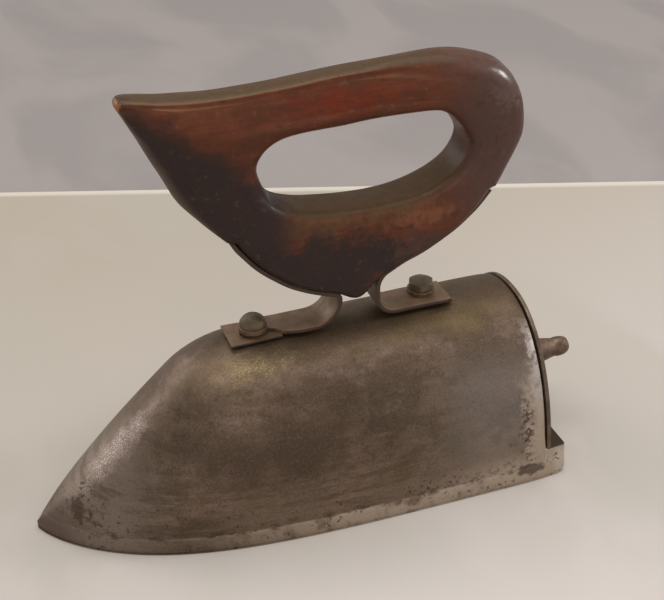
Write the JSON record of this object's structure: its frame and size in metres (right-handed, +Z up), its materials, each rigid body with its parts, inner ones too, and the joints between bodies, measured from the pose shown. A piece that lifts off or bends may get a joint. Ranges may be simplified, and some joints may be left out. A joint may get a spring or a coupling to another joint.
{
  "type": "clothes iron",
  "caption": "Gas-heated clothes iron: hollow hood on a thick pointed sole, burner unit sliding out of the heel, closed wooden handle on two bent steel straps.",
  "frame": {"origin": "in the ironing face, on the middle line, half way along the sole", "axes": "-X towards the nose, +X towards the heel and the gas nozzle, +Z up; the ironing face looks along -Z"},
  "size_m": [0.2656, 0.1034, 0.1993],
  "materials": {
    "sole_iron": "worn, polished edge",
    "plated_hood": "worn plating, tarnished",
    "plate_iron": "tarnished",
    "plain_steel": "dull",
    "sheet_steel": "heat-stained",
    "strap_steel": "oxidised",
    "bolt_steel": "oxidised",
    "gas_brass": "tarnished",
    "handle_wood": "worn varnish"
  },
  "bodies": {
    "iron_body": {"sole_plate": "sole_iron", "hood": "plated_hood", "front_pillar": "plain_steel", "rear_pillar": "plain_steel", "baffle": "sheet_steel", "burner_saddle": "sheet_steel", "saddle_screws": "plain_steel", "front_pad": "strap_steel", "rear_pad": "strap_steel", "front_strap": "strap_steel", "rear_strap": "strap_steel", "handle_washers": "bolt_steel", "handle_bolts": "bolt_steel", "strap_screws": "plain_steel", "handle": "handle_wood"},
    "burner_unit": {"rear_plate": "plate_iron", "plate_clips": "sheet_steel", "clip_rivets": "plain_steel", "nozzle": "gas_brass", "nozzle_locknut": "gas_brass", "gas_jet": "gas_brass", "mixing_tube": "gas_brass", "burner_manifold": "gas_brass", "left_burner_tube": "gas_brass", "right_burner_tube": "gas_brass", "burner_end_caps": "gas_brass"},
    "air_shutter": {"air_collar": "gas_brass"}
  },
  "joints": [
    {"name": "burner_slide", "type": "slide", "parent": "iron_body", "child": "burner_unit", "axis": [1, 0, 0], "range_m": [0, 0.18]},
    {"name": "air_collar_turn", "type": "hinge", "parent": "burner_unit", "child": "air_shutter", "pos_m": [0.0975, 0, 0.0353], "axis": [1, 0, 0], "range_deg": [0, 45]}
  ]
}
